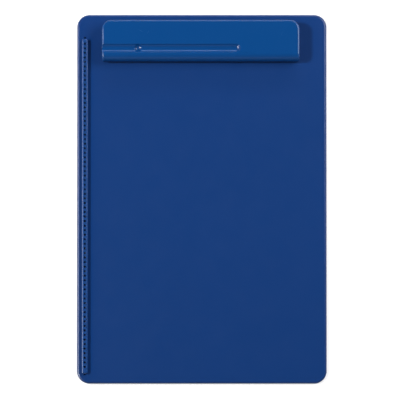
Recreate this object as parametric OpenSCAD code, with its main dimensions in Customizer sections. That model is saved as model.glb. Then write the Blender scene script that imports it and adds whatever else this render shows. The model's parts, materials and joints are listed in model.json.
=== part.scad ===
// Clipboard for A4 sheets: a moulded board with a dotted paper rail down its left edge
// and a long sprung clamp bar across its top, with a pen groove in the bar.
//
// X runs across the board, Y up the page towards the clamp bar, and Z up off the board.
// The origin is in the middle of the board, level with the face that it rests on.
// All sizes are in millimetres.

/* [Board] */
// Width of the board
board_w = 230; // [226:1:236]
// Length of the board
board_l = 340; // [334:1:350]
// Thickness of the board at its rim
board_t = 4; // [3.8:0.1:4.4]
// Corner radius of the board, seen from above
board_corner = 11.5; // [8:0.5:14]
// Rounding of the board's upper edge
board_edge = 2.4; // [1.6:0.1:2.6]
// Width of the rim that the board rests on
rim_w = 12; // [11:0.5:14]
// Depth of the hollow back inside the rim
back_depth = 1.2; // [1.1:0.1:1.4]

/* [Paper rail] */
// Width of the rail
rail_w = 5.6; // [5.2:0.1:6]
// Height of the rail above the board
rail_h = 3.8; // [3.2:0.1:4.2]
// Rounding of the rail's upper edges
rail_edge = 1.5; // [0.8:0.1:1.7]
// Distance between the dots along the rail
dot_pitch = 4.18; // [4:0.01:4.22]
// Number of dots
dot_count = 72; // [40:1:72]
// Diameter of a dot
dot_d = 2.1; // [1.4:0.1:2.3]
// Depth of a dot
dot_depth = 2.6; // [1:0.1:3.2]

/* [Clamp bar] */
// Width of the bar across the board
bar_w = 181; // [177:1:185]
// Depth of the bar from its back edge to its nose
bar_depth = 37.5; // [37:0.1:38]
// Height of the bar's top face above the board
bar_rise = 13; // [12.8:0.1:13.4]
// Wall thickness of the bar
bar_wall = 2.2; // [2:0.1:2.4]
// Rounding of the bar's outer edges
bar_edge = 2; // [1.4:0.1:2]
// Radius of the two back corners, seen from above
bar_corner = 8.8; // [7:0.1:9.5]
// Radius of the nose
nose_r = 7; // [6.5:0.1:7.2]
// Width of the pen groove across its mouth
groove_w = 7.6; // [7:0.1:7.8]
// Depth of the pen groove
groove_depth = 2.2; // [1.8:0.1:2.3]

/* [Hinge] */
// Diameter of the hinge rod
rod_d = 3; // [2.8:0.1:3.2]
// Distance of each bracket from the middle of the bar
bracket_x = 58; // [50:1:62]
// Diameter of the spring wire
wire_d = 1.2; // [1:0.05:1.25]
// Whole turns in each spring, before the last half turn
spring_turns = 6; // [4:1:7]

/* [Hidden] */

$fn = 64;
over = 1; // how far a cutter runs past the face that it opens
joint = 0.1; // how far two joined shapes run into each other
blue_board = [0.10, 0.27, 0.52];
blue_bar = [0.09, 0.29, 0.55];
zinc = [0.74, 0.75, 0.76];
bright_steel = [0.80, 0.80, 0.82];
spring_steel = [0.42, 0.43, 0.45];
grip_rubber = [0.08, 0.10, 0.16];

// Board
sole_edge = 0.5; // rounding of the board's lower edge
recess_corner = 5;

// Rail: a head on the board and a tongue pressed into a groove in it
rail_x = -board_w / 2 + 7.5;
rail_y = 147.5;
rail_l = 307.9;
rail_corner = 1.7;
tongue_w = 2.4;
tongue_depth = 1.6;
tongue_gap = 2; // how far the groove shows past each end of the rail
first_dot = 4.8; // from the rail's upper end to its first dot
slip = 0.05; // clearance at each side of a part that is pushed in

// Bar
bar_x = -1;
bar_rear = 163.7;
bar_nose = bar_rear - bar_depth;
bar_top = board_t + bar_rise;
half_bar = bar_w / 2;
skirt_z = board_t + 0.8; // lowest point of the bar's walls
lip_z = bar_top - 3.8; // lower edge of the lip along the back
nose_y = bar_nose + nose_r;
nose_z = bar_top - nose_r;
corner_y = bar_rear - bar_corner;
jaw_t = 5; // thickness of the jaw, front to back
jaw_h = 4.8;

// Pen groove: a round channel that ends in a dome, with a dimple in its floor
groove_y = 137.8;
groove_end = 36.2; // right end of the groove, from the middle of the bar
groove_lip = 0.5; // rounding of the groove's mouth
groove_r = (pow(groove_w / 2, 2) + pow(groove_depth, 2)) / (2 * groove_depth);
groove_z = bar_top - groove_depth + groove_r;
floor_t = 2; // wall under the groove
dimple_x = -57.3;
dimple_r = 3.7;
dimple_depth = 1.5;
lip_drop = groove_z - bar_top + groove_lip;
lip_y = sqrt(pow(groove_r + groove_lip, 2) - pow(lip_drop, 2));

// Hinge
hinge_y = 145.5;
hinge_z = board_t + 6;
rod_l = bar_w - 0.8;
bore_slip = 0.02; // rod in the bar
running_slip = 0.08; // rod in the brackets
boss_r = 4.3;
rib_t = 2.4;
rib_x = 15.8; // ribs of the bar, from the middle of each bracket

// Bracket
plate_t = 1;
bracket_w = 28;
bracket_front = 138.6;
bracket_rear = 158;
ear_r = 3.4;
stop_h = 4.6; // paper stop, above the board
rivet_x = 8.6;
rivet_y = 153.6;
rivet_r = 1.9;
rivet_head_r = 4;
rivet_head_h = 0.9;
rivet_roll_r = 3;
rivet_roll_h = 1.1;

// Springs
coil_r = 2.9;
coil_pitch = wire_d + 0.08;
leg_l = 11.5;
lower_leg_slope = 7;
upper_leg_slope = 6;
step_a = 20; // degrees between two rings of the wire's mesh

// Grip strip
grip_w = 1.8;
grip_y = 128.1;
grip_gap = 0.1; // the strip stays this far off the board in the solids
grip_side = 6; // from each side of the bar to the strip
grip_slot_top = skirt_z + 3;

// ---------------------------------------------------------------- shared shapes

// A rectangle of w by l with round corners of radius r, centred on the origin.
module rounded_rect(w, l, r) {
    square([w - 2 * r, l], center = true);
    square([w, l - 2 * r], center = true);
    for (x = [-1, 1], y = [-1, 1])
        translate([x * (w / 2 - r), y * (l / 2 - r)])
            circle(r);
}

// The upper right quarter of a disc.
module quarter_disc(r) {
    intersection() {
        circle(r);
        translate([-joint, -joint])
            square(r + over);
    }
}

// Section through a slab's edge: `reach` wide, `t` high, its outer corners rounded.
module edge_section(reach, t, upper, lower) {
    square([reach - upper, t]);
    square([reach - lower, t - upper]);
    translate([0, lower])
        square([reach, t - upper - lower]);
    translate([reach - upper, t - upper])
        quarter_disc(upper);
    if (lower > 0)
        translate([reach - lower, lower])
            mirror([0, 1])
                quarter_disc(lower);
}

// A slab with round corners in plan and rounded upper and lower edges.
module rounded_slab(w, l, t, corner, upper, lower) {
    across = w - 2 * corner;
    along = l - 2 * corner;
    translate([-across / 2, -along / 2, 0])
        cube([across, along, t]);
    for (side = [0, 1]) {
        rotate([0, 0, side * 180])
            translate([across / 2, along / 2, 0])
                rotate([90, 0, 0])
                    linear_extrude(along)
                        edge_section(corner, t, upper, lower);
        rotate([0, 0, side * 180 + 90])
            translate([along / 2, across / 2, 0])
                rotate([90, 0, 0])
                    linear_extrude(across)
                        edge_section(corner, t, upper, lower);
    }
    for (x = [0, 1], y = [0, 1])
        mirror([x, 0, 0])
            mirror([0, y, 0])
                translate([across / 2, along / 2, 0])
                    rotate_extrude(angle = 90)
                        edge_section(corner, t, upper, lower);
}

// Stands a drawing of Y and Z up and extrudes it along X, centred on x.
module along_x(x, length) {
    translate([x - length / 2, 0, 0])
        rotate([90, 0, 90])
            linear_extrude(length)
                children();
}

// ---------------------------------------------------------------- board and rail

module board() {
    color(blue_board)
        difference() {
            rounded_slab(board_w, board_l, board_t, board_corner, board_edge, sole_edge);
            translate([0, 0, -over])
                linear_extrude(back_depth + over)
                    rounded_rect(board_w - 2 * rim_w, board_l - 2 * rim_w, recess_corner);
            rail_groove();
            for (side = [-1, 1])
                rivet_places(side)
                    translate([0, 0, -over])
                        cylinder(h = board_t + 2 * over, r = rivet_r + slip);
        }
}

module rail_groove() {
    run = rail_l + 2 * tongue_gap - tongue_w;
    translate([rail_x, rail_y + tongue_gap - tongue_w / 2, board_t - tongue_depth]) {
        translate([-tongue_w / 2, -run, 0])
            cube([tongue_w, run, tongue_depth + over]);
        for (y = [0, -run])
            translate([0, y, 0])
                cylinder(h = tongue_depth + over, r = tongue_w / 2);
    }
}

// The rail: a head with rounded shoulders and ends, over a narrow tongue.
module paper_rail() {
    tongue = tongue_w - 2 * slip;
    color(blue_board)
        translate([rail_x, rail_y, board_t])
            difference() {
                union() {
                    translate([0, -rail_l / 2, 0])
                        rounded_slab(rail_w, rail_l, rail_h, rail_corner, rail_edge, 0);
                    translate([-tongue / 2, -rail_l + rail_corner, slip - tongue_depth])
                        cube([tongue, rail_l - 2 * rail_corner, tongue_depth]);
                }
                for (i = [0:dot_count - 1])
                    translate([0, -first_dot - i * dot_pitch, rail_h - dot_depth])
                        cylinder(h = dot_depth + over, d = dot_d, $fn = 24);
            }
}

// ---------------------------------------------------------------- clamp bar

// Section of the bar's middle stretch, drawn in Y and Z.
module bar_section() {
    rear_z = bar_top - bar_edge;
    difference() {
        union() {
            translate([nose_y, skirt_z])
                square([bar_rear - bar_edge - nose_y, bar_top - skirt_z]);
            translate([nose_y, skirt_z])
                square([bar_rear - nose_y, rear_z - skirt_z]);
            translate([bar_rear - bar_edge, rear_z])
                circle(bar_edge);
            translate([bar_nose, skirt_z])
                square([nose_r, nose_z - skirt_z]);
            translate([nose_y, nose_z])
                mirror([1, 0])
                    quarter_disc(nose_r);
        }
        translate([bar_nose + bar_wall, skirt_z - over])
            square([bar_depth - 2 * bar_wall, nose_z - skirt_z + over]);
        translate([nose_y, nose_z - over])
            square([bar_rear - bar_wall - nose_y, nose_r - bar_wall + over]);
        translate([nose_y, nose_z])
            circle(nose_r - bar_wall);
    }
}

// Section through one side of the bar: the top plate and the skirt, from the corner's centre out.
module side_section(bottom) {
    difference() {
        union() {
            translate([0, bottom])
                square([bar_corner - bar_edge, bar_top - bottom]);
            translate([0, bottom])
                square([bar_corner, bar_top - bar_edge - bottom]);
            translate([bar_corner - bar_edge, bar_top - bar_edge])
                circle(bar_edge);
        }
        translate([-over, bottom - over])
            square([bar_corner - bar_wall + over, bar_top - bar_wall - bottom + over]);
    }
}

// Plan of the bar's front corner below the nose: the front wall and the skirt.
module front_corner_plan() {
    run = nose_y - bar_nose;
    difference() {
        union() {
            square([bar_corner - bar_edge, run]);
            translate([0, bar_edge])
                square([bar_corner, run - bar_edge]);
            translate([bar_corner - bar_edge, bar_edge])
                circle(bar_edge);
        }
        translate([-over, bar_wall])
            square([bar_corner - bar_wall + over, run]);
    }
}

// The right end of the bar, from the corner's centre out.
module bar_end() {
    inner_x = half_bar - bar_corner;
    translate([inner_x, corner_y, 0]) {
        rotate([90, 0, 0])
            linear_extrude(corner_y - nose_y)
                side_section(skirt_z);
        rotate_extrude(angle = 90)
            side_section(skirt_z);
    }
    translate([inner_x, nose_y, nose_z])
        rotate([0, 90, 0])
            rotate([0, 0, 180])
                rotate_extrude(angle = 90)
                    nose_end_section();
    translate([inner_x, bar_nose, skirt_z])
        linear_extrude(nose_z - skirt_z)
            front_corner_plan();
}

// Section of the nose at the bar's end: distance from the nose's axis, then distance along X.
module nose_end_section() {
    difference() {
        union() {
            square([nose_r - bar_edge, bar_corner]);
            square([nose_r, bar_corner - bar_edge]);
            translate([nose_r - bar_edge, bar_corner - bar_edge])
                circle(bar_edge);
        }
        translate([-over, -over])
            square([nose_r - bar_wall + over, bar_corner - bar_wall + over]);
    }
}

// The shell of the bar before its underside is trimmed.
module bar_shell() {
    along_x(0, 2 * (half_bar - bar_corner))
        bar_section();
    for (side = [0, 1])
        mirror([side, 0, 0])
            bar_end();
}

// What is cut away below the skirts, drawn in Y and Z: it leaves the jaw at the front,
// a boss round the hinge rod, and room for paper and for the back of the bar to come down.
module underside_cut() {
    difference() {
        polygon([
            [bar_nose + jaw_t, skirt_z - over],
            [bar_nose + jaw_t, skirt_z + 0.4],
            [nose_y + 5.5, nose_z - 1],
            [hinge_y - 3, nose_z - 1],
            [hinge_y + 2, hinge_z - boss_r - 0.2],
            [hinge_y + 5, hinge_z - 2.4],
            [bar_rear - 3, lip_z],
            [bar_rear + over, lip_z],
            [bar_rear + over, skirt_z - over]
        ]);
        translate([hinge_y, hinge_z])
            circle(boss_r);
    }
}

// Ribs that hold the hinge rod on both sides of each bracket.
module bar_rib() {
    translate([hinge_y, hinge_z])
        circle(boss_r);
    polygon([
        [hinge_y - boss_r, hinge_z],
        [hinge_y + boss_r, hinge_z],
        [hinge_y + boss_r + 2.4, bar_top - bar_wall / 2],
        [hinge_y - boss_r - 1, bar_top - bar_wall / 2]
    ]);
}

// The jaw, thickened inside the front wall so that it holds the grip strip.
module jaw_block() {
    translate([-half_bar + bar_wall / 2, bar_nose + bar_wall / 2, skirt_z])
        cube([bar_w - bar_wall, jaw_t - bar_wall / 2, jaw_h]);
}

// Half the section of the groove, from its middle out, z down from the bar's top face.
module groove_half_section(r, grow) {
    intersection() {
        translate([0, groove_z])
            circle(r + grow);
        translate([0, bar_top - groove_depth - grow - over])
            square([r + grow + over, r + grow + over]);
    }
}

module groove_mouth_half() {
    base_z = groove_z - groove_r * lip_drop / (groove_r + groove_lip);
    difference() {
        translate([0, base_z])
            square([lip_y, bar_top + over - base_z]);
        translate([lip_y, bar_top - groove_lip])
            circle(groove_lip);
    }
}

// A channel along X from the bar's left side to the groove's domed end.
module groove_channel(left, grow) {
    end_x = groove_end - lip_y;
    translate([left, groove_y, 0])
        rotate([90, 0, 90])
            linear_extrude(end_x - left)
                for (side = [0, 1])
                    mirror([side, 0])
                        children();
    translate([end_x, groove_y, 0])
        rotate([0, 0, -90])
            rotate_extrude(angle = 180)
                children();
}

module pen_groove_cut() {
    groove_channel(-half_bar - over, 0) {
        union() {
            groove_half_section(groove_r, 0);
            groove_mouth_half();
        }
    }
    translate([dimple_x, groove_y, bar_top - groove_depth - dimple_depth + dimple_r])
        sphere(dimple_r);
}

// The wall that carries the groove below the top plate.
module groove_floor() {
    intersection() {
        union() {
            groove_channel(-half_bar + bar_wall / 2, floor_t)
                groove_half_section(groove_r, floor_t);
            translate([dimple_x, groove_y, bar_top - groove_depth - dimple_depth + dimple_r])
                sphere(dimple_r + floor_t);
        }
        translate([-half_bar, bar_nose, bar_top - 8])
            cube([bar_w, bar_depth, 8 - bar_wall / 2]);
    }
}

module clamp_bar() {
    color(blue_bar)
        translate([bar_x, 0, 0])
            difference() {
                union() {
                    difference() {
                        union() {
                            bar_shell();
                            jaw_block();
                        }
                        along_x(0, bar_w + 2 * over)
                            underside_cut();
                    }
                    groove_floor();
                    for (side = [-1, 1], rib = [-1, 1])
                        along_x(side * bracket_x + rib * rib_x, rib_t)
                            bar_rib();
                }
                pen_groove_cut();
                translate([-half_bar - over, hinge_y, hinge_z])
                    rotate([0, 90, 0])
                        cylinder(h = bar_w + 2 * over, r = rod_d / 2 + bore_slip);
                translate([-half_bar + grip_side - slip, grip_y - grip_w / 2 - slip, skirt_z - over])
                    cube([bar_w - 2 * (grip_side - slip), grip_w + 2 * slip,
                          grip_slot_top - skirt_z + over + slip]);
            }
}

// Soft strip along the jaw, with a round lower edge that meets the paper.
module grip_strip() {
    foot_z = board_t + grip_gap + grip_w / 2;
    color(grip_rubber)
        along_x(bar_x, bar_w - 2 * grip_side) {
            translate([grip_y - grip_w / 2, foot_z])
                square([grip_w, grip_slot_top - foot_z]);
            translate([grip_y, foot_z])
                circle(grip_w / 2);
        }
}

// ---------------------------------------------------------------- hinge

module hinge_rod() {
    color(bright_steel)
        translate([bar_x - rod_l / 2, hinge_y, hinge_z])
            rotate([0, 90, 0])
                cylinder(h = rod_l, d = rod_d);
}

// One ear of a bracket, drawn in Y and Z.
module ear_section() {
    difference() {
        union() {
            translate([hinge_y, hinge_z])
                circle(ear_r);
            polygon([
                [hinge_y - ear_r - 1.5, board_t],
                [hinge_y + ear_r + 2.5, board_t],
                [hinge_y + ear_r, hinge_z],
                [hinge_y - ear_r, hinge_z]
            ]);
        }
        translate([hinge_y, hinge_z])
            circle(rod_d / 2 + running_slip);
    }
}

// A stamped bracket: a base plate, two ears for the rod and a turned-up paper stop.
module bracket(side) {
    middle = bar_x + side * bracket_x;
    depth = bracket_rear - bracket_front;
    color(zinc)
        translate([middle, 0, 0]) {
            difference() {
                translate([0, bracket_front + depth / 2, board_t])
                    linear_extrude(plate_t)
                        rounded_rect(bracket_w, depth, 2);
                for (x = [-1, 1])
                    translate([x * rivet_x, rivet_y, board_t - over])
                        cylinder(h = plate_t + 2 * over, r = rivet_r + slip);
            }
            for (x = [-1, 1])
                along_x(x * (bracket_w - plate_t) / 2, plate_t)
                    ear_section();
            translate([-bracket_w / 2 + 3, bracket_front, board_t])
                cube([bracket_w - 6, plate_t, stop_h]);
        }
}

module rivet_places(side) {
    for (x = [-1, 1])
        translate([bar_x + side * bracket_x + x * rivet_x, rivet_y, 0])
            children();
}

// Half the section of a rivet: a wide head in the board's hollow back, a shank, and
// an end rolled over on the bracket with a hollow in its middle.
module rivet_section() {
    roll_z = board_t + plate_t;
    head_z = back_depth - rivet_head_h;
    difference() {
        union() {
            translate([0, head_z])
                square([rivet_head_r - 0.5, rivet_head_h]);
            intersection() {
                translate([rivet_head_r - 0.5 - 0.4, head_z])
                    square([0.9, rivet_head_h]);
                translate([rivet_head_r - 0.9, head_z + rivet_head_h])
                    circle(0.9);
            }
            translate([0, head_z])
                square([rivet_r, roll_z + rivet_roll_h - head_z]);
            translate([0, roll_z])
                square([rivet_roll_r - rivet_roll_h / 2, rivet_roll_h]);
            translate([rivet_roll_r - rivet_roll_h / 2, roll_z + rivet_roll_h / 2])
                circle(rivet_roll_h / 2, $fn = 32);
        }
        translate([0, roll_z])
            square([1.1, rivet_roll_h + over]);
    }
}

module rivets(side) {
    color(bright_steel)
        rivet_places(side)
            rotate_extrude()
                rivet_section();
}

// ---------------------------------------------------------------- springs

function unit(v) = v / norm(v);

// Where the wire is at angle a round the rod: 0 is below it, 90 in front, 180 above.
function on_coil(a, x) = [x, -coil_r * sin(a), -coil_r * cos(a)];
function leg_way(a) = [0, cos(a), -sin(a)];

spring_start = lower_leg_slope;
spring_stop = 360 * spring_turns + 180 - upper_leg_slope;
coil_l = coil_pitch * (spring_stop - spring_start) / 360;

function spring_path() =
    let (steps = ceil((spring_stop - spring_start) / step_a),
         coil = [for (i = [0:steps])
                    let (a = spring_start + (spring_stop - spring_start) * i / steps)
                    on_coil(a, coil_l * (i / steps - 0.5))])
    concat([coil[0] + leg_l * leg_way(spring_start)],
           coil,
           [coil[steps] - leg_l * leg_way(spring_stop)]);

function heading(path, i) = unit(path[min(i + 1, len(path) - 1)] - path[max(i - 1, 0)]);

function wire_ring(path, i, r, sides) =
    let (ahead = heading(path, i),
         out = unit(cross(ahead, [1, 0, 0])),
         up = cross(ahead, out))
    [for (k = [0:sides - 1]) path[i] + r * (cos(360 * k / sides) * out + sin(360 * k / sides) * up)];

// A round wire swept along a path.
module wire(path, r, sides) {
    last = len(path) - 1;
    points = [for (i = [0:last]) each wire_ring(path, i, r, sides)];
    walls = [for (i = [0:last - 1], k = [0:sides - 1])
                let (a = i * sides + k,
                     b = i * sides + (k + 1) % sides)
                each [[a, b, a + sides], [b, b + sides, a + sides]]];
    ends = [[for (k = [sides - 1:-1:0]) k], [for (k = [0:sides - 1]) last * sides + k]];
    polyhedron(points, concat(walls, ends), convexity = 10);
}

module spring(side) {
    color(spring_steel)
        translate([bar_x + side * bracket_x, hinge_y, hinge_z])
            wire(spring_path(), wire_d / 2, 8);
}

// ---------------------------------------------------------------- nodes

board();
paper_rail();
bracket(-1);  // bracket_left
bracket(1);  // bracket_right
rivets(-1);  // rivets_left
rivets(1);  // rivets_right
clamp_bar();
grip_strip();
hinge_rod();
spring(-1);  // spring_left
spring(1);  // spring_right
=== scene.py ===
import json
import math

import bmesh
import bpy
from mathutils import Matrix, Vector
from mathutils.geometry import delaunay_2d_cdt


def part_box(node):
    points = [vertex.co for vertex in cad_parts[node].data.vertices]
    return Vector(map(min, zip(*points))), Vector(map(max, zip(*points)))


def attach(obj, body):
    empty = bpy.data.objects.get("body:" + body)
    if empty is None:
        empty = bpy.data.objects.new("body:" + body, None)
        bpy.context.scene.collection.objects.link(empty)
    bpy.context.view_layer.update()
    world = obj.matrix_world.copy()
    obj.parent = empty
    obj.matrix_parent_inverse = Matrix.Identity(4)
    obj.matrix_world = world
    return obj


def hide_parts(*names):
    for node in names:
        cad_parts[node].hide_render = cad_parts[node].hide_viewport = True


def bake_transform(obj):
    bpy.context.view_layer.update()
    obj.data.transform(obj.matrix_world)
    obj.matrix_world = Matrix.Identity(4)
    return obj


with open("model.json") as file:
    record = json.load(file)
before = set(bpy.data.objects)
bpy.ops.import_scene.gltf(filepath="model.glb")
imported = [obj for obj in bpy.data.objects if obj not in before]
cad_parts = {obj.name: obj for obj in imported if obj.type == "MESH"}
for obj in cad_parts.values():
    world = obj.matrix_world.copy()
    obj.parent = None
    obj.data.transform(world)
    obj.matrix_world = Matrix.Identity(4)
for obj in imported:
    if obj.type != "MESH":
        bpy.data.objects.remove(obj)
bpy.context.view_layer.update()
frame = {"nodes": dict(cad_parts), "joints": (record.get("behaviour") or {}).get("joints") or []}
MM = 0.001


# ---------------------------------------------------------------- camera, floor and light

def aim(obj, place, target):
    """Puts a camera or a light at a place and turns it to face the target."""
    obj.location = place
    obj.rotation_mode = "QUATERNION"
    obj.rotation_quaternion = (Vector(target) - Vector(place)).to_track_quat("-Z", "Y")
    bpy.context.scene.collection.objects.link(obj)
    return obj


def make_camera():
    """The photo's view: almost straight down, from far enough away to show little perspective."""
    data = bpy.data.cameras.new("camera")
    data.sensor_width = 36.0
    distance = 1.5
    view_width = 0.3683
    data.lens = data.sensor_width * distance / view_width
    data.clip_start, data.clip_end = 0.05, 50.0
    target = Vector((-0.0017, -0.0009, 0.004))
    tilt = math.radians(0.75)
    place = target + distance * Vector((0.0, -math.sin(tilt), math.cos(tilt)))
    camera = aim(bpy.data.objects.new("camera", data), place, target)
    bpy.context.scene.camera = camera


def area_light(name, place, size, power, target=(0.0, 0.0, 0.0)):
    data = bpy.data.lights.new(name, "AREA")
    data.shape = "RECTANGLE"
    data.size, data.size_y = size
    data.energy = power
    return aim(bpy.data.objects.new(name, data), place, target)


def make_studio():
    """A small key light from the left, wide soft lights from the right and from behind the bar, and two
    lights on the left that show only as glints in the glossy finish."""
    key = area_light("key_left", (-1.05, 0.27, 1.10), (0.18, 0.18), 17.9)
    key.visible_glossy = False
    glint = area_light("glint_left", (-1.15, 0.04, 0.78), (0.60, 0.62), 11.0)
    glint.visible_diffuse = False
    spark = area_light("spark_left", (-1.20, -0.58, 0.78), (0.20, 0.20), 18.0)
    spark.visible_diffuse = False
    area_light("fill_right", (1.10, 0.55, 0.95), (0.9, 0.6), 15.0)
    area_light("back", (0.30, 1.46, 0.55), (1.6, 0.20), 5.6, (0.0, 0.13, 0.0))
    make_world()
    bpy.context.scene.view_settings.view_transform = "Standard"


def make_world():
    """Dim overhead, brighter lower down and dim again at the horizon, so that the flat faces keep their
    colour at a low angle; the camera itself sees plain pale grey."""
    world = bpy.data.worlds.new("studio")
    world.use_nodes = True
    nodes, links = world.node_tree.nodes, world.node_tree.links
    nodes.clear()
    seen = nodes.new("ShaderNodeBackground")
    seen.inputs["Color"].default_value = (0.97, 0.97, 0.975, 1.0)
    ambient = nodes.new("ShaderNodeBackground")
    ambient.inputs["Color"].default_value = (0.92, 0.96, 1.0, 1.0)
    way = nodes.new("ShaderNodeSeparateXYZ")
    links.new(nodes.new("ShaderNodeTexCoord").outputs["Generated"], way.inputs["Vector"])
    profile = nodes.new("ShaderNodeFloatCurve")
    profile.mapping.extend = "HORIZONTAL"
    curve = profile.mapping.curves[0]
    curve.points[0].location, curve.points[1].location = (0.0, 0.10), (1.0, 0.07)
    for height, strength in ((0.12, 0.16), (0.3, 0.40), (0.6, 0.20), (0.9, 0.08)):
        curve.points.new(height, strength)
    profile.mapping.update()
    links.new(way.outputs["Z"], profile.inputs["Value"])
    links.new(profile.outputs["Value"], ambient.inputs["Strength"])
    path = nodes.new("ShaderNodeLightPath")
    mix = nodes.new("ShaderNodeMixShader")
    output = nodes.new("ShaderNodeOutputWorld")
    links.new(path.outputs["Is Camera Ray"], mix.inputs["Fac"])
    links.new(ambient.outputs["Background"], mix.inputs[1])
    links.new(seen.outputs["Background"], mix.inputs[2])
    links.new(mix.outputs["Shader"], output.inputs["Surface"])
    bpy.context.scene.world = world


def make_floor():
    """Plain pale paper. A glow that only the camera sees keeps it evenly pale out to the horizon."""
    half = 8.0
    mesh = bpy.data.meshes.new("floor")
    corners = [(-half, -half, 0.0), (half, -half, 0.0), (half, half, 0.0), (-half, half, 0.0)]
    mesh.from_pydata(corners, [], [(0, 1, 2, 3)])
    floor = bpy.data.objects.new("floor", mesh)
    bpy.context.scene.collection.objects.link(floor)
    material, nodes, links, shader = new_material("floor_paper")
    shader.inputs["Base Color"].default_value = (0.70, 0.70, 0.705, 1.0)
    shader.inputs["Roughness"].default_value = 0.9
    shader.inputs["Emission Color"].default_value = (1.0, 1.0, 1.0, 1.0)
    reach = nodes.new("ShaderNodeVectorMath")
    reach.operation = "LENGTH"
    links.new(nodes.new("ShaderNodeTexCoord").outputs["Object"], reach.inputs[0])
    glow = to_range(nodes, links, reach.outputs["Value"], 0.3, 2.5, 0.55, 0.97)
    camera_ray = nodes.new("ShaderNodeLightPath").outputs["Is Camera Ray"]
    links.new(maths(nodes, links, "MULTIPLY", glow, camera_ray), shader.inputs["Emission Strength"])
    mesh.materials.append(material)


# ---------------------------------------------------------------- materials

def new_material(name):
    material = bpy.data.materials.new(name)
    material.use_nodes = True
    nodes = material.node_tree.nodes
    return material, nodes, material.node_tree.links, nodes["Principled BSDF"]


def noise(nodes, links, coords, scale, detail=4.0, roughness=0.5):
    node = nodes.new("ShaderNodeTexNoise")
    node.inputs["Scale"].default_value = scale
    node.inputs["Detail"].default_value = detail
    node.inputs["Roughness"].default_value = roughness
    links.new(coords, node.inputs["Vector"])
    return node.outputs["Fac"]


def to_range(nodes, links, value, low, high, new_low, new_high):
    node = nodes.new("ShaderNodeMapRange")
    links.new(value, node.inputs["Value"])
    node.inputs["From Min"].default_value = low
    node.inputs["From Max"].default_value = high
    node.inputs["To Min"].default_value = new_low
    node.inputs["To Max"].default_value = new_high
    return node.outputs["Result"]


def maths(nodes, links, operation, *values):
    """A maths node; each value is a socket or a number."""
    node = nodes.new("ShaderNodeMath")
    node.operation = operation
    for socket, value in zip(node.inputs, values):
        if isinstance(value, float):
            socket.default_value = value
        else:
            links.new(value, socket)
    return node.outputs["Value"]


def mix_colour(nodes, links, factor, a, b):
    node = nodes.new("ShaderNodeMix")
    node.data_type = "RGBA"
    links.new(factor, node.inputs["Factor"])
    for socket, value in ((node.inputs[6], a), (node.inputs[7], b)):
        if isinstance(value, tuple):
            socket.default_value = (*value, 1.0)
        else:
            links.new(value, socket)
    return node.outputs[2]


def bump(nodes, links, height, distance, strength=1.0, normal=None):
    node = nodes.new("ShaderNodeBump")
    node.inputs["Distance"].default_value = distance
    node.inputs["Strength"].default_value = strength
    links.new(height, node.inputs["Height"])
    if normal is not None:
        links.new(normal, node.inputs["Normal"])
    return node.outputs["Normal"]


def scratches(nodes, links, coords, turn, rows):
    """Sparse fine lines in one direction: 1 on a line and 0 off it."""
    heading = nodes.new("ShaderNodeVectorRotate")
    heading.rotation_type = "Z_AXIS"
    heading.inputs["Angle"].default_value = math.radians(turn)
    links.new(coords, heading.inputs["Vector"])
    lay = nodes.new("ShaderNodeMapping")
    lay.inputs["Scale"].default_value = (rows, 45.0, 45.0)
    links.new(heading.outputs["Vector"], lay.inputs["Vector"])
    line = noise(nodes, links, lay.outputs["Vector"], 1.0, 2.0, 0.55)
    return to_range(nodes, links, line, 0.70, 0.76, 0.0, 1.0)


def moulded_plastic(name, colour, roughness, grain):
    """Blue moulded plastic: fine spark-eroded grain, faint flow clouds, hairline scuffs, and edges that
    handling has polished a little."""
    material, nodes, links, shader = new_material(name)
    coords = nodes.new("ShaderNodeTexCoord").outputs["Object"]
    cloudy = noise(nodes, links, coords, 14.0, 3.0)
    fine = noise(nodes, links, coords, 5200.0, 2.0)
    pebbled = noise(nodes, links, coords, 1400.0, 1.0)
    rubbed = noise(nodes, links, coords, 60.0, 6.0, 0.65)
    shade = to_range(nodes, links, cloudy, 0.3, 0.7, 0.0, 1.0)
    darker = tuple(0.99 * c for c in colour)
    lighter = tuple(1.01 * c for c in colour)
    flow = mix_colour(nodes, links, shade, darker, lighter)
    scuffs = maths(nodes, links, "MAXIMUM", scratches(nodes, links, coords, 24.0, 950.0),
                   scratches(nodes, links, coords, -63.0, 1150.0))
    faint = to_range(nodes, links, scuffs, 0.0, 1.0, 0.0, 0.03)
    pale = tuple(0.75 * c + 0.02 for c in colour)
    links.new(mix_colour(nodes, links, faint, flow, pale), shader.inputs["Base Color"])
    matt = to_range(nodes, links, rubbed, 0.3, 0.7, roughness - 0.02, roughness + 0.02)
    duller = maths(nodes, links, "MULTIPLY_ADD", scuffs, 0.05, matt)
    edge = nodes.new("ShaderNodeNewGeometry").outputs["Pointiness"]
    polish = to_range(nodes, links, edge, 0.52, 0.60, 1.0, 0.82)
    links.new(maths(nodes, links, "MULTIPLY", duller, polish), shader.inputs["Roughness"])
    first = bump(nodes, links, pebbled, grain)
    links.new(bump(nodes, links, fine, 0.3 * grain, 1.0, first), shader.inputs["Normal"])
    shader.inputs["IOR"].default_value = 1.5
    return material


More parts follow.
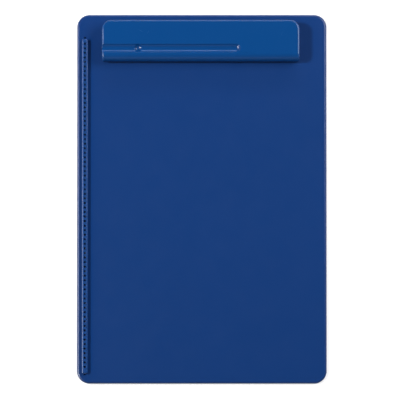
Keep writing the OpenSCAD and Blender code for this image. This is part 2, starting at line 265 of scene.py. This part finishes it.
def brushed_metal(name, colour, roughness, stretch):
    """Metal with fine lines, which run along the axis that the stretch is smallest in, and dull clouds."""
    material, nodes, links, shader = new_material(name)
    coords = nodes.new("ShaderNodeTexCoord").outputs["Object"]
    mapping = nodes.new("ShaderNodeMapping")
    mapping.inputs["Scale"].default_value = stretch
    links.new(coords, mapping.inputs["Vector"])
    lines = noise(nodes, links, mapping.outputs["Vector"], 300.0, 5.0, 0.6)
    clouds = noise(nodes, links, coords, 120.0, 3.0)
    darker = tuple(0.82 * c for c in colour)
    links.new(mix_colour(nodes, links, clouds, darker, colour), shader.inputs["Base Color"])
    links.new(to_range(nodes, links, lines, 0.25, 0.75, roughness - 0.08, roughness + 0.1),
              shader.inputs["Roughness"])
    links.new(bump(nodes, links, lines, 0.00002), shader.inputs["Normal"])
    shader.inputs["Metallic"].default_value = 1.0
    return material


def soft_rubber(name, colour):
    """Matt dark rubber, worn paler in patches."""
    material, nodes, links, shader = new_material(name)
    coords = nodes.new("ShaderNodeTexCoord").outputs["Object"]
    speck = noise(nodes, links, coords, 1500.0, 3.0)
    worn = noise(nodes, links, coords, 90.0, 4.0)
    lighter = tuple(1.5 * c + 0.004 for c in colour)
    links.new(mix_colour(nodes, links, worn, colour, lighter), shader.inputs["Base Color"])
    links.new(to_range(nodes, links, worn, 0.3, 0.7, 0.62, 0.8), shader.inputs["Roughness"])
    links.new(bump(nodes, links, speck, 0.00003), shader.inputs["Normal"])
    return material


# ---------------------------------------------------------------- mesh helpers

def arc(centre, radius, start, stop, steps):
    """Points on an arc, both ends included; angles in degrees."""
    points = []
    for i in range(steps + 1):
        a = math.radians(start + (stop - start) * i / steps)
        points.append((centre[0] + radius * math.cos(a), centre[1] + radius * math.sin(a)))
    return points


def outline(half_w, half_l, corner, ys, steps, across):
    """A rectangle with round corners, anticlockwise from its lower right. Its sides have a point at
    each of the ys, and its ends have `across` spaces."""
    ix, iy = half_w - corner, half_l - corner
    sides = [max(-iy, min(iy, y)) for y in ys]
    ends = [ix - 2 * ix * k / across for k in range(1, across)]
    return ([(half_w, y) for y in sides] + arc((ix, iy), corner, 0, 90, steps)[1:]
            + [(x, half_l) for x in ends] + arc((-ix, iy), corner, 90, 180, steps)[:-1]
            + [(-half_w, y) for y in reversed(sides)] + arc((-ix, -iy), corner, 180, 270, steps)[1:]
            + [(-x, -half_l) for x in ends] + arc((ix, -iy), corner, 270, 360, steps)[:-1])


def ring(mesh, points, z, middle=(0.0, 0.0)):
    return [mesh.verts.new((x + middle[0], y + middle[1], z)) for x, y in points]


def skin(mesh, rings):
    """Joins each ring to the next with a row of quads."""
    for a, b in zip(rings, rings[1:]):
        for k in range(len(a)):
            j = (k + 1) % len(a)
            mesh.faces.new((a[k], a[j], b[j], b[k]))


def fan(mesh, loop, centre):
    """Closes a loop with triangles that meet at one point."""
    for k in range(len(loop)):
        mesh.faces.new((loop[k], loop[(k + 1) % len(loop)], centre))


def fill(mesh, rim, holes, extra, inside, z):
    """Triangles on a flat face between a rim and its holes, with extra points to even them out."""
    loops = [rim] + holes
    verts = [v for loop in loops for v in loop]
    points = [Vector((v.co.x, v.co.y)) for v in verts] + [Vector(p) for p in extra]
    edges, at = [], 0
    for loop in loops:
        edges += [(at + k, at + (k + 1) % len(loop)) for k in range(len(loop))]
        at += len(loop)
    found, _, faces, origins, _, _ = delaunay_2d_cdt(points, edges, [], 0, 1e-7)
    made = []
    for place, ids in zip(found, origins):
        known = [i for i in ids if i < len(verts)]
        made.append(verts[known[0]] if known else mesh.verts.new((place.x, place.y, z)))
    for face in faces:
        middle = sum((found[i] for i in face), Vector((0.0, 0.0))) / 3
        if inside(middle):
            mesh.faces.new([made[i] for i in face])
    for vert in [v for v in made if not v.link_faces]:
        mesh.verts.remove(vert)


def lathe(mesh, profile, steps, move):
    """Turns a profile of (radius, height) points, which starts and ends on the axis."""
    rings = []
    for radius, height in profile[1:-1]:
        turn = [2 * math.pi * k / steps for k in range(steps)]
        rings.append([mesh.verts.new(move @ Vector((radius * math.cos(a), radius * math.sin(a), height)))
                      for a in turn])
    skin(mesh, rings)
    fan(mesh, rings[0], mesh.verts.new(move @ Vector((0.0, 0.0, profile[0][1]))))
    fan(mesh, rings[-1], mesh.verts.new(move @ Vector((0.0, 0.0, profile[-1][1]))))


def piece(name, mesh, material, node, body, sharp=38.0):
    """Makes a piece that rides on a body and stands for a CAD node."""
    bmesh.ops.recalc_face_normals(mesh, faces=mesh.faces)
    data = bpy.data.meshes.new(name)
    mesh.to_mesh(data)
    mesh.free()
    data.shade_smooth()
    data.set_sharp_from_angle(angle=math.radians(sharp))
    data.materials.append(material)
    obj = bpy.data.objects.new(name, data)
    bpy.context.scene.collection.objects.link(obj)
    even = obj.modifiers.new("even", "WEIGHTED_NORMAL")
    even.keep_sharp = True
    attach(obj, body)
    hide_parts(node)
    return obj


def grid_points(half_w, half_l, gap):
    """Points about `gap` apart over a rectangle, each second row shifted by half a space."""
    rows, columns = round(2 * half_l / gap), round(2 * half_w / gap)
    return [((-1 + 2 * (c + 0.5 * (r % 2)) / columns) * half_w, (-1 + 2 * r / rows) * half_l)
            for r in range(rows + 1) for c in range(columns + 1 - r % 2)]


# ---------------------------------------------------------------- board

BOARD_CORNER = 11.5 * MM
BOARD_EDGE = 2.4 * MM
SOLE_EDGE = 0.5 * MM
RIM = 12 * MM
BACK_DEPTH = 1.2 * MM
RECESS_CORNER = 5 * MM
RIVET_HOLE_R = 1.95 * MM
RIVET_SHANK_R = 1.9 * MM
RIVET_HEAD_R = 4 * MM
LEDGE = 0.4 * MM
SLOT_R = 1.2 * MM
SLOT_DEPTH = 1.6 * MM
SLOT_GAP = 2 * MM
HOLE_STEPS = 32


def rivet_centres():
    """Where the four rivets stand, seen from above."""
    centres = []
    for node in ("rivets_left", "rivets_right"):
        low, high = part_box(node)
        y = (low.y + high.y) / 2
        centres += [Vector((low.x + RIVET_HEAD_R, y)), Vector((high.x - RIVET_HEAD_R, y))]
    return centres


RIVETS = rivet_centres()


def quarter(radius, steps):
    """(distance in from the side, distance below the top) at each step round a rounded edge."""
    turns = [math.pi / 2 * k / steps for k in range(steps + 1)]
    return [(radius * (1 - math.cos(a)), radius * (1 - math.sin(a))) for a in turns]


def make_board(material):
    """The moulded board: recess, rim, rounded edges, writing face, rail slot and rivet holes."""
    half_w, half_l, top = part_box("board")[1]
    mesh = bmesh.new()
    corner_steps, across = 20, 12
    iy = half_l - BOARD_CORNER
    ys = [-iy + 2 * iy * k / 16 for k in range(17)]

    def rim_ring(inset, z):
        return ring(mesh, outline(half_w - inset, half_l - inset, BOARD_CORNER - inset, ys,
                                  corner_steps, across), z)

    def recess_ring(inset, z):
        return ring(mesh, outline(half_w - RIM - inset, half_l - RIM - inset, RECESS_CORNER - inset, ys,
                                  corner_steps, across), z)

    recess = [recess_ring(drop, BACK_DEPTH - inset) for inset, drop in quarter(LEDGE, 3)]
    mouth = [recess_ring(-inset, drop) for inset, drop in quarter(LEDGE, 3)]
    sole = [rim_ring(drop, inset) for inset, drop in quarter(SOLE_EDGE, 4)]
    edge = [rim_ring(inset, top - drop) for inset, drop in quarter(BOARD_EDGE, 10)]
    skin(mesh, recess + mouth + sole + edge)

    holes_top, holes_under = [], []
    for centre in RIVETS:
        circle = arc((0.0, 0.0), RIVET_HOLE_R, 0, 360, HOLE_STEPS)[:-1]
        holes_top.append(ring(mesh, circle, top, centre))
        holes_under.append(ring(mesh, circle, BACK_DEPTH, centre))
        skin(mesh, [holes_under[-1], holes_top[-1]])

    rail_low, rail_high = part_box("paper_rail")
    slot_x = (rail_low.x + rail_high.x) / 2
    slot_top = rail_high.y + SLOT_GAP - SLOT_R
    slot_end = rail_low.y - SLOT_GAP + SLOT_R
    side = [slot_end + (slot_top - slot_end) * k / 60 for k in range(1, 60)]
    slot = (arc((slot_x, slot_top), SLOT_R, 0, 180, 12) + [(slot_x - SLOT_R, y) for y in reversed(side)]
            + arc((slot_x, slot_end), SLOT_R, 180, 360, 12) + [(slot_x + SLOT_R, y) for y in side])
    slot_rim, slot_floor = ring(mesh, slot, top), ring(mesh, slot, top - SLOT_DEPTH)
    skin(mesh, [slot_rim, slot_floor])

    def on_plate(point):
        if any((point - centre).length < RIVET_HOLE_R for centre in RIVETS):
            return False
        near = max(slot_end, min(slot_top, point.y))
        return (point - Vector((slot_x, near))).length > SLOT_R

    def in_slot(point):
        near = max(slot_end, min(slot_top, point.y))
        return (point - Vector((slot_x, near))).length < SLOT_R

    def off_slot(point):
        return abs(point[0] - slot_x) > 3 * SLOT_R and all(
            (Vector(point) - centre).length > 1.6 * RIVET_HOLE_R for centre in RIVETS)

    gap = 9 * MM
    extra = [p for p in grid_points(half_w - 6 * MM, half_l - 6 * MM, gap) if off_slot(p)]
    fill(mesh, edge[-1], holes_top + [slot_rim], extra, on_plate, top)
    extra = [p for p in grid_points(half_w - RIM - 4 * MM, half_l - RIM - 4 * MM, gap) if off_slot(p)]
    fill(mesh, recess[0], holes_under, extra,
         lambda p: all((p - centre).length > RIVET_HOLE_R for centre in RIVETS), BACK_DEPTH)
    fill(mesh, slot_floor, [], [], in_slot, top - SLOT_DEPTH)
    piece("moulded_board", mesh, material, "board", "base")


# ---------------------------------------------------------------- rail

RAIL_EDGE = 1.5 * MM
RAIL_CORNER = 1.7 * MM
DOT_R = 1.05 * MM
DOT_DEPTH = 2.6 * MM
DOT_PITCH = 4.18 * MM
DOT_COUNT = 72
FIRST_DOT = 4.8 * MM
TONGUE_INSET = 1.65 * MM
CELL_STEPS = 8


def make_rail(material):
    """The rail: its tongue, its foot, its rounded edges, and a cell of even faces round each dot."""
    low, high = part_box("paper_rail")
    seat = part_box("board")[1].z
    middle = ((low.x + high.x) / 2, (low.y + high.y) / 2)
    half_w, half_l, top = (high.x - low.x) / 2, (high.y - low.y) / 2, high.z
    mesh = bmesh.new()
    corner_steps, across = 6, 4
    last_edge = half_l - FIRST_DOT - (DOT_COUNT - 0.5) * DOT_PITCH
    run = DOT_COUNT * CELL_STEPS
    ys = ([-(half_l - RAIL_CORNER)] + [last_edge + DOT_PITCH / CELL_STEPS * k for k in range(run + 1)]
          + [half_l - RAIL_CORNER])

    def rail_ring(inset, z, less=0.0):
        corner = max(RAIL_CORNER - inset - less, 0.1 * MM)
        return ring(mesh, outline(half_w - inset, half_l - inset - less, corner, ys, corner_steps, across),
                    z, middle)

    tongue = [rail_ring(TONGUE_INSET, low.z, 0.5 * MM), rail_ring(TONGUE_INSET, seat, 0.5 * MM)]
    foot = rail_ring(0.0, seat)
    edge = [rail_ring(inset, top - drop) for inset, drop in quarter(RAIL_EDGE, 8)]
    skin(mesh, tongue + [foot] + edge)

    count = len(ys)
    left_at = count + 2 * corner_steps + across - 1

    def side_pair(loop, k):
        return loop[left_at + count - 1 - k], loop[k]

    under = tongue[0]
    for k in range(count - 1):
        (a, b), (c, d) = side_pair(under, k), side_pair(under, k + 1)
        mesh.faces.new((a, b, d, c))
    mesh.faces.new(under[count - 1:left_at + 1])
    mesh.faces.new(under[left_at + count - 1:] + under[:1])

    cap = edge[-1]
    half_cell = CELL_STEPS // 2
    rows = []
    for cell in range(DOT_COUNT + 1):
        left, right = side_pair(cap, 1 + cell * CELL_STEPS)
        inner = [mesh.verts.new(left.co.lerp(right.co, k / across)) for k in range(1, across)]
        rows.append([left] + inner + [right])
    for cell in range(DOT_COUNT):
        first = 1 + cell * CELL_STEPS
        right_side = [cap[first + k] for k in range(CELL_STEPS + 1)]
        left_side = [side_pair(cap, first + k)[0] for k in range(CELL_STEPS + 1)]
        around = right_side + rows[cell + 1][-2:0:-1] + left_side[::-1] + rows[cell][1:-1]
        make_dot(mesh, around[half_cell:] + around[:half_cell],
                 (right_side[half_cell].co + left_side[half_cell].co) / 2)
    mesh.faces.new(cap[count - 1:left_at + 1] + rows[-1])
    mesh.faces.new(rows[0] + [cap[0]] + cap[left_at + count - 1:][::-1])
    piece("dotted_rail", mesh, material, "paper_rail", "base")


DOT_LIP = 0.12 * MM
DOT_CONE = 0.5 * MM
DOT_CHAMFER = 0.15 * MM


def make_dot(mesh, around, centre):
    """A blind hole with a softened rim and a drilled bottom, inside a loop of points on the rail. The
    outermost ring is flat and keeps the rim's shading off the rail's face."""
    lip = DOT_LIP
    depths = ([(DOT_R + 1.6 * lip, 0.0), (DOT_R + lip, 0.0), (DOT_R + 0.3 * lip, 0.3 * lip), (DOT_R, lip)]
              + [(DOT_R, DOT_DEPTH - DOT_CONE), (DOT_R - DOT_CHAMFER, DOT_DEPTH - DOT_CHAMFER)])
    rings = [around]
    for radius, depth in depths:
        turn = [2 * math.pi * k / len(around) for k in range(len(around))]
        rings.append([mesh.verts.new(centre + Vector((radius * math.cos(a), radius * math.sin(a), -depth)))
                      for a in turn])
    skin(mesh, rings)
    fan(mesh, rings[-1], mesh.verts.new(centre - Vector((0.0, 0.0, DOT_DEPTH))))


# ---------------------------------------------------------------- brackets, rivets, rod and strip

PLATE = 1 * MM
BEND_R = 1 * MM
EAR_TOP_R = 3.4 * MM
EAR_BORE_R = 1.58 * MM
EAR_FRONT = 4.9 * MM
EAR_REAR = 5.9 * MM
STOP_HALF = 11 * MM
STOP_HEIGHT = 4.6 * MM
STOP_CORNER = 1 * MM
PLATE_CORNER = 2 * MM
RELIEF = 0.6 * MM
ROLL_REACH = 3 * MM
RIVET_HEAD_EDGE = 0.6 * MM
HOLLOW_R = 1.1 * MM
HOLLOW_EDGE = 0.25 * MM
HOLLOW_FOOT = 0.2 * MM
ROD_CHAMFER = 0.35 * MM
RIB_PITCH = 2 * MM
RIB_DEPTH = 0.18 * MM
RIB_FREE_END = 2 * MM
STRIP_CORNER = 0.2 * MM
STRIP_END = 0.25 * MM


def make_bracket(side, material):
    """Cuts the flat blank of a bracket, bends its ears and its paper stop up, and thickens it."""
    node = "bracket_" + side
    low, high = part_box(node)
    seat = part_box("board")[1].z
    stop_top = seat + STOP_HEIGHT
    joint_y, joint_z = frame["joints"][0]["pos_m"][1:]
    middle_x, half = (low.x + high.x) / 2, (high.x - low.x) / 2
    ear_bend = half - PLATE / 2 - BEND_R
    stop_bend = low.y + PLATE / 2 + BEND_R
    bend = BEND_R * math.pi / 2
    rise = seat + PLATE / 2 + BEND_R
    ear_mid = ear_bend + bend + joint_z - rise
    stop_end = stop_bend - bend - (stop_top - rise)
    ear_start, ear_stop = joint_y - EAR_FRONT, joint_y + EAR_REAR
    rivet_holes = [Vector((c.x - middle_x, c.y)) for c in RIVETS if abs(c.x - middle_x) < half]
    bores = [Vector((sign * ear_mid, joint_y)) for sign in (-1, 1)]

    right = (arc((STOP_HALF - STOP_CORNER, stop_end + STOP_CORNER), STOP_CORNER, -90, 0, 6)
             + [(STOP_HALF, stop_bend + 0.3 * MM), (ear_bend - RELIEF, stop_bend + 0.3 * MM),
                (ear_bend - RELIEF / 2, ear_start), (ear_bend, ear_start), (ear_bend + bend, ear_start)]
             + arc((ear_mid, joint_y), EAR_TOP_R, -90, 90, 20)
             + [(ear_bend + bend, ear_stop), (ear_bend, ear_stop), (ear_bend - RELIEF, ear_stop),
                (ear_bend - RELIEF, ear_stop + RELIEF), (half, ear_stop + RELIEF)]
             + arc((half - PLATE_CORNER, high.y - PLATE_CORNER), PLATE_CORNER, 0, 90, 8))
    blank = right + [(-x, y) for x, y in reversed(right)]
    mesh = bmesh.new()
    rim = ring(mesh, blank, 0.0)
    cuts = [(c, RIVET_HOLE_R) for c in rivet_holes] + [(c, EAR_BORE_R) for c in bores]
    holes = [ring(mesh, arc(centre, radius, 0, 360, HOLE_STEPS)[:-1], 0.0) for centre, radius in cuts]
    bend_steps = 6
    extra = []
    for k in range(bend_steps + 1):
        s = bend * k / bend_steps
        for j in range(1, 12):
            y = ear_start + (ear_stop - ear_start) * j / 12
            extra += [(sign * (ear_bend + s), y) for sign in (-1, 1)]
        extra += [(-STOP_HALF + 2 * STOP_HALF * j / 22, stop_bend - s) for j in range(1, 22)]
        extra += [(sign * STOP_HALF, stop_bend - s) for sign in (-1, 1)]
        extra += [(sign * (ear_bend + s), y) for sign in (-1, 1) for y in (ear_start, ear_stop)]

    def on_blank(point):
        return in_polygon(point, blank) and all((point - c).length > radius for c, radius in cuts)

    fill(mesh, rim, holes, extra, on_blank, 0.0)
    bmesh.ops.recalc_face_normals(mesh, faces=mesh.faces)
    for vert in mesh.verts:
        u, v = vert.co.x, vert.co.y
        sign, past_ear, past_stop = math.copysign(1.0, u), abs(u) - ear_bend, stop_bend - v
        z = seat + PLATE / 2
        if past_ear > 0 and v < ear_stop + RELIEF / 2:
            reach, z = folded(past_ear, bend, z)
            u = sign * (ear_bend + reach)
        elif past_stop > 0:
            reach, z = folded(past_stop, bend, z)
            v = stop_bend - reach
        vert.co = (middle_x + u, v, z)
    obj = piece("bent_" + node, mesh, material, node, "base")
    obj.modifiers.clear()
    thick = obj.modifiers.new("thick", "SOLIDIFY")
    thick.thickness = PLATE
    thick.offset = 0.0
    thick.use_even_offset = True
    edge = obj.modifiers.new("edge", "BEVEL")
    edge.width = 0.12 * MM
    edge.segments = 2
    edge.limit_method = "ANGLE"
    edge.angle_limit = math.radians(50)
    edge.harden_normals = True


def folded(past, bend, z):
    """How far out and how high a point of the blank lands once it is bent up at a right angle."""
    if past >= bend:
        return BEND_R, z + BEND_R + past - bend
    turn = past / BEND_R
    return BEND_R * math.sin(turn), z + BEND_R * (1 - math.cos(turn))


def in_polygon(point, polygon):
    inside = False
    for (ax, ay), (bx, by) in zip(polygon, polygon[1:] + polygon[:1]):
        if (ay > point.y) != (by > point.y):
            if point.x < ax + (point.y - ay) * (bx - ax) / (by - ay):
                inside = not inside
    return inside


def make_rivets(side, material):
    """The two rivets of a bracket: a wide head under the board, a shank and a rolled, hollow end."""
    node = "rivets_" + side
    low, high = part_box(node)
    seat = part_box("board")[1].z + PLATE
    roll_r = (high.z - seat) / 2
    roll_at = ROLL_REACH - roll_r
    head_top = BACK_DEPTH
    head = [(0.0, low.z), (0.5 * RIVET_HEAD_R, low.z)]
    head += arc((RIVET_HEAD_R - RIVET_HEAD_EDGE, low.z + RIVET_HEAD_EDGE), RIVET_HEAD_EDGE, -90, 0, 6)
    head += [(RIVET_HEAD_R, head_top), (RIVET_SHANK_R, head_top), (RIVET_SHANK_R, seat)]
    roll = arc((roll_at, seat + roll_r), roll_r, -90, 90, 12)
    bowl = arc((HOLLOW_R + HOLLOW_EDGE, high.z - HOLLOW_EDGE), HOLLOW_EDGE, 90, 180, 5)
    bowl += [(HOLLOW_R, seat + HOLLOW_FOOT), (HOLLOW_R - HOLLOW_FOOT, seat), (0.0, seat)]
    profile = head + roll + bowl
    mesh = bmesh.new()
    y = (low.y + high.y) / 2
    for x in (low.x + RIVET_HEAD_R, high.x - RIVET_HEAD_R):
        lathe(mesh, profile, 48, Matrix.Translation((x, y, 0.0)))
    piece("rolled_" + node, mesh, material, node, "base")


def make_rod(material):
    """The hinge rod, with chamfered ends."""
    low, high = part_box("hinge_rod")
    radius, chamfer = (high.z - low.z) / 2, ROD_CHAMFER
    length = high.x - low.x
    end = [(0.0, 0.0), (radius - chamfer, 0.0), (radius - 0.1 * chamfer, 0.9 * chamfer),
           (radius, 1.3 * chamfer)]
    rows = [(radius, length * k / 24) for k in range(1, 24)]
    profile = end + rows + [(r, length - z) for r, z in reversed(end)]
    turn = Matrix.Translation((low.x, (low.y + high.y) / 2, (low.z + high.z) / 2))
    mesh = bmesh.new()
    lathe(mesh, profile, 40, turn @ Matrix.Rotation(math.pi / 2, 4, "Y"))
    piece("steel_rod", mesh, material, "hinge_rod", "clamp")


def make_strip(material):
    """The grip strip: a round foot with shallow cross ribs, and a square back in the jaw."""
    low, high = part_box("grip_strip")
    half, y = (high.y - low.y) / 2, (low.y + high.y) / 2
    foot = arc((0.0, low.z + half), half, 180, 360, 14)
    back = arc((half - STRIP_CORNER, high.z - STRIP_CORNER), STRIP_CORNER, 0, 90, 3)
    back += arc((STRIP_CORNER - half, high.z - STRIP_CORNER), STRIP_CORNER, 90, 180, 3)
    section = foot + back
    ribs = int((high.x - low.x - 2 * RIB_FREE_END) / RIB_PITCH)
    start = (low.x + high.x - ribs * RIB_PITCH) / 2
    stations = [(low.x, 0.0, 0.85), (low.x + STRIP_END, 0.0, 1.0)]
    for i in range(ribs):
        stations += [(start + (i + t) * RIB_PITCH, d * RIB_DEPTH, 1.0)
                     for t, d in ((0.05, 0.0), (0.6, 0.0), (0.7, 0.8), (0.8, 1.0), (0.9, 0.8))]
    stations += [(high.x - STRIP_END, 0.0, 1.0), (high.x, 0.0, 0.85)]
    mesh = bmesh.new()
    mid_z = (low.z + high.z) / 2
    rings = []
    for x, lift, size in stations:
        loop = []
        for dy, z in section:
            raised = z + lift * max(0.0, (low.z + half - z) / half)
            loop.append(mesh.verts.new((x, y + size * dy, mid_z + size * (raised - mid_z))))
        rings.append(loop)
    skin(mesh, rings)
    mesh.faces.new(rings[0])
    mesh.faces.new(rings[-1])
    piece("ribbed_grip", mesh, material, "grip_strip", "clamp")


# ---------------------------------------------------------------- clamp bar

EDGE_ROUND = 0.15 * MM
SHORTEST_EDGE = 0.12 * MM
SHORTEST_AFTER_ROUNDING = 0.02 * MM
SAME_POINT = 0.002 * MM
SHARP_EDGE = math.radians(33)
FLAT_WITHIN = math.radians(0.05)


def make_bar(material):
    """The CAD bar with every sharp edge rounded a little, as moulding leaves it."""
    mesh = bmesh.new()
    mesh.from_mesh(frame["nodes"]["clamp_bar"].data)
    bmesh.ops.remove_doubles(mesh, verts=mesh.verts, dist=SAME_POINT)
    bmesh.ops.remove_doubles(mesh, verts=mesh.verts, dist=SHORTEST_EDGE)
    crisp = [e for e in mesh.edges if e.calc_face_angle() > SHARP_EDGE]
    bmesh.ops.bevel(mesh, geom=crisp, offset=EDGE_ROUND, offset_type="OFFSET", segments=2, profile=0.5,
                    affect="EDGES", clamp_overlap=False)
    bmesh.ops.remove_doubles(mesh, verts=mesh.verts, dist=SHORTEST_AFTER_ROUNDING)
    bmesh.ops.dissolve_limit(mesh, angle_limit=FLAT_WITHIN, verts=mesh.verts, edges=mesh.edges)
    piece("moulded_bar", mesh, material, "clamp_bar", "clamp")


# ---------------------------------------------------------------- springs

COIL_R = 2.9 * MM
WIRE_R = 0.6 * MM
TURNS = 6.5
LEG = 11.5 * MM
LOWER_SLOPE = math.radians(7.0)
UPPER_SLOPE = math.radians(6.0)
RINGS_PER_TURN = 48
WIRE_SIDES = 16


def spring_line(axis_at, left, right):
    """Centreline of a torsion spring: a leg towards +Y under the coil, the coil, a leg above it."""
    start = LOWER_SLOPE
    stop = 2 * math.pi * TURNS - UPPER_SLOPE
    count = round(RINGS_PER_TURN * TURNS)

    def on_coil(a, x):
        return axis_at + Vector((x, -COIL_R * math.sin(a), -COIL_R * math.cos(a)))

    def heading(a):
        return Vector((0.0, math.cos(a), -math.sin(a)))

    coil = []
    for i in range(count + 1):
        a = start + (stop - start) * i / count
        coil.append(on_coil(a, left + (right - left) * i / count))
    steps = 12
    lower = [coil[0] + heading(start) * LEG * (1 - i / steps) for i in range(steps)]
    upper = [coil[-1] - heading(stop) * LEG * (i + 1) / steps for i in range(steps)]
    return lower + coil + upper


def tube(name, line, radius, sides):
    """A round wire along a line, with slightly domed ends."""
    mesh = bmesh.new()
    rings = []
    last = len(line) - 1
    dome = 0.14 * radius
    across = Vector((1.0, 0.0, 0.0))

    def section(at, ahead, r):
        out = ahead.cross(across).normalized()
        up = ahead.cross(out).normalized()
        turn = [2 * math.pi * k / sides for k in range(sides)]
        return [mesh.verts.new(at + r * (math.cos(a) * out + math.sin(a) * up)) for a in turn]

    for i, at in enumerate(line):
        ahead = (line[min(i + 1, last)] - line[max(i - 1, 0)]).normalized()
        if i == 0:
            rings.append(section(at, ahead, radius - dome))
            rings.append(section(at + dome * ahead, ahead, radius))
        elif i == last:
            rings.append(section(at - dome * ahead, ahead, radius))
            rings.append(section(at, ahead, radius - dome))
        else:
            rings.append(section(at, ahead, radius))
    skin(mesh, rings)
    mesh.faces.new(list(reversed(rings[0])))
    mesh.faces.new(rings[-1])
    bmesh.ops.recalc_face_normals(mesh, faces=mesh.faces)
    data = bpy.data.meshes.new(name)
    mesh.to_mesh(data)
    mesh.free()
    for face in data.polygons:
        face.use_smooth = len(face.vertices) == 4
    obj = bpy.data.objects.new(name, data)
    bpy.context.scene.collection.objects.link(obj)
    return obj


def make_spring(node, material):
    """A spring of round wire, with a lower leg under its coil and an upper leg above it, made as one fixed
    piece.
    """
    low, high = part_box(node)
    joint = frame["joints"][0]
    left, right = low.x + WIRE_R, high.x - WIRE_R
    middle = Vector((0.0, joint["pos_m"][1], joint["pos_m"][2]))
    spring = tube(node + "_wire", spring_line(middle, left, right), WIRE_R, WIRE_SIDES)
    spring.data.materials.append(material)
    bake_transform(spring)
    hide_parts(node)


# ---------------------------------------------------------------- the object

make_camera()
make_studio()
make_floor()

board_blue = moulded_plastic("board_blue", (0.0028, 0.0375, 0.173), 0.33, 0.000024)
# The rail's blue is the board's plastic made lighter: a painted highlight standing in for the light that
# the rail's rounded shoulders catch.
rail_blue = moulded_plastic("rail_blue", (0.0045, 0.052, 0.215), 0.34, 0.000010)
bar_blue = moulded_plastic("bar_blue", (0.0012, 0.0565, 0.221), 0.22, 0.000012)
zinc = brushed_metal("zinc_plate", (0.55, 0.56, 0.57), 0.38, (1.0, 0.2, 1.0))
steel = brushed_metal("bright_steel", (0.60, 0.60, 0.61), 0.25, (0.1, 1.0, 1.0))
wire = brushed_metal("spring_wire", (0.30, 0.31, 0.33), 0.33, (1.0, 1.0, 1.0))
rubber = soft_rubber("grip_rubber", (0.02, 0.025, 0.04))

make_board(board_blue)
make_rail(rail_blue)
make_bar(bar_blue)
for side in ("left", "right"):
    make_bracket(side, zinc)
    make_rivets(side, steel)
    make_spring("spring_" + side, wire)
make_rod(steel)
make_strip(rubber)
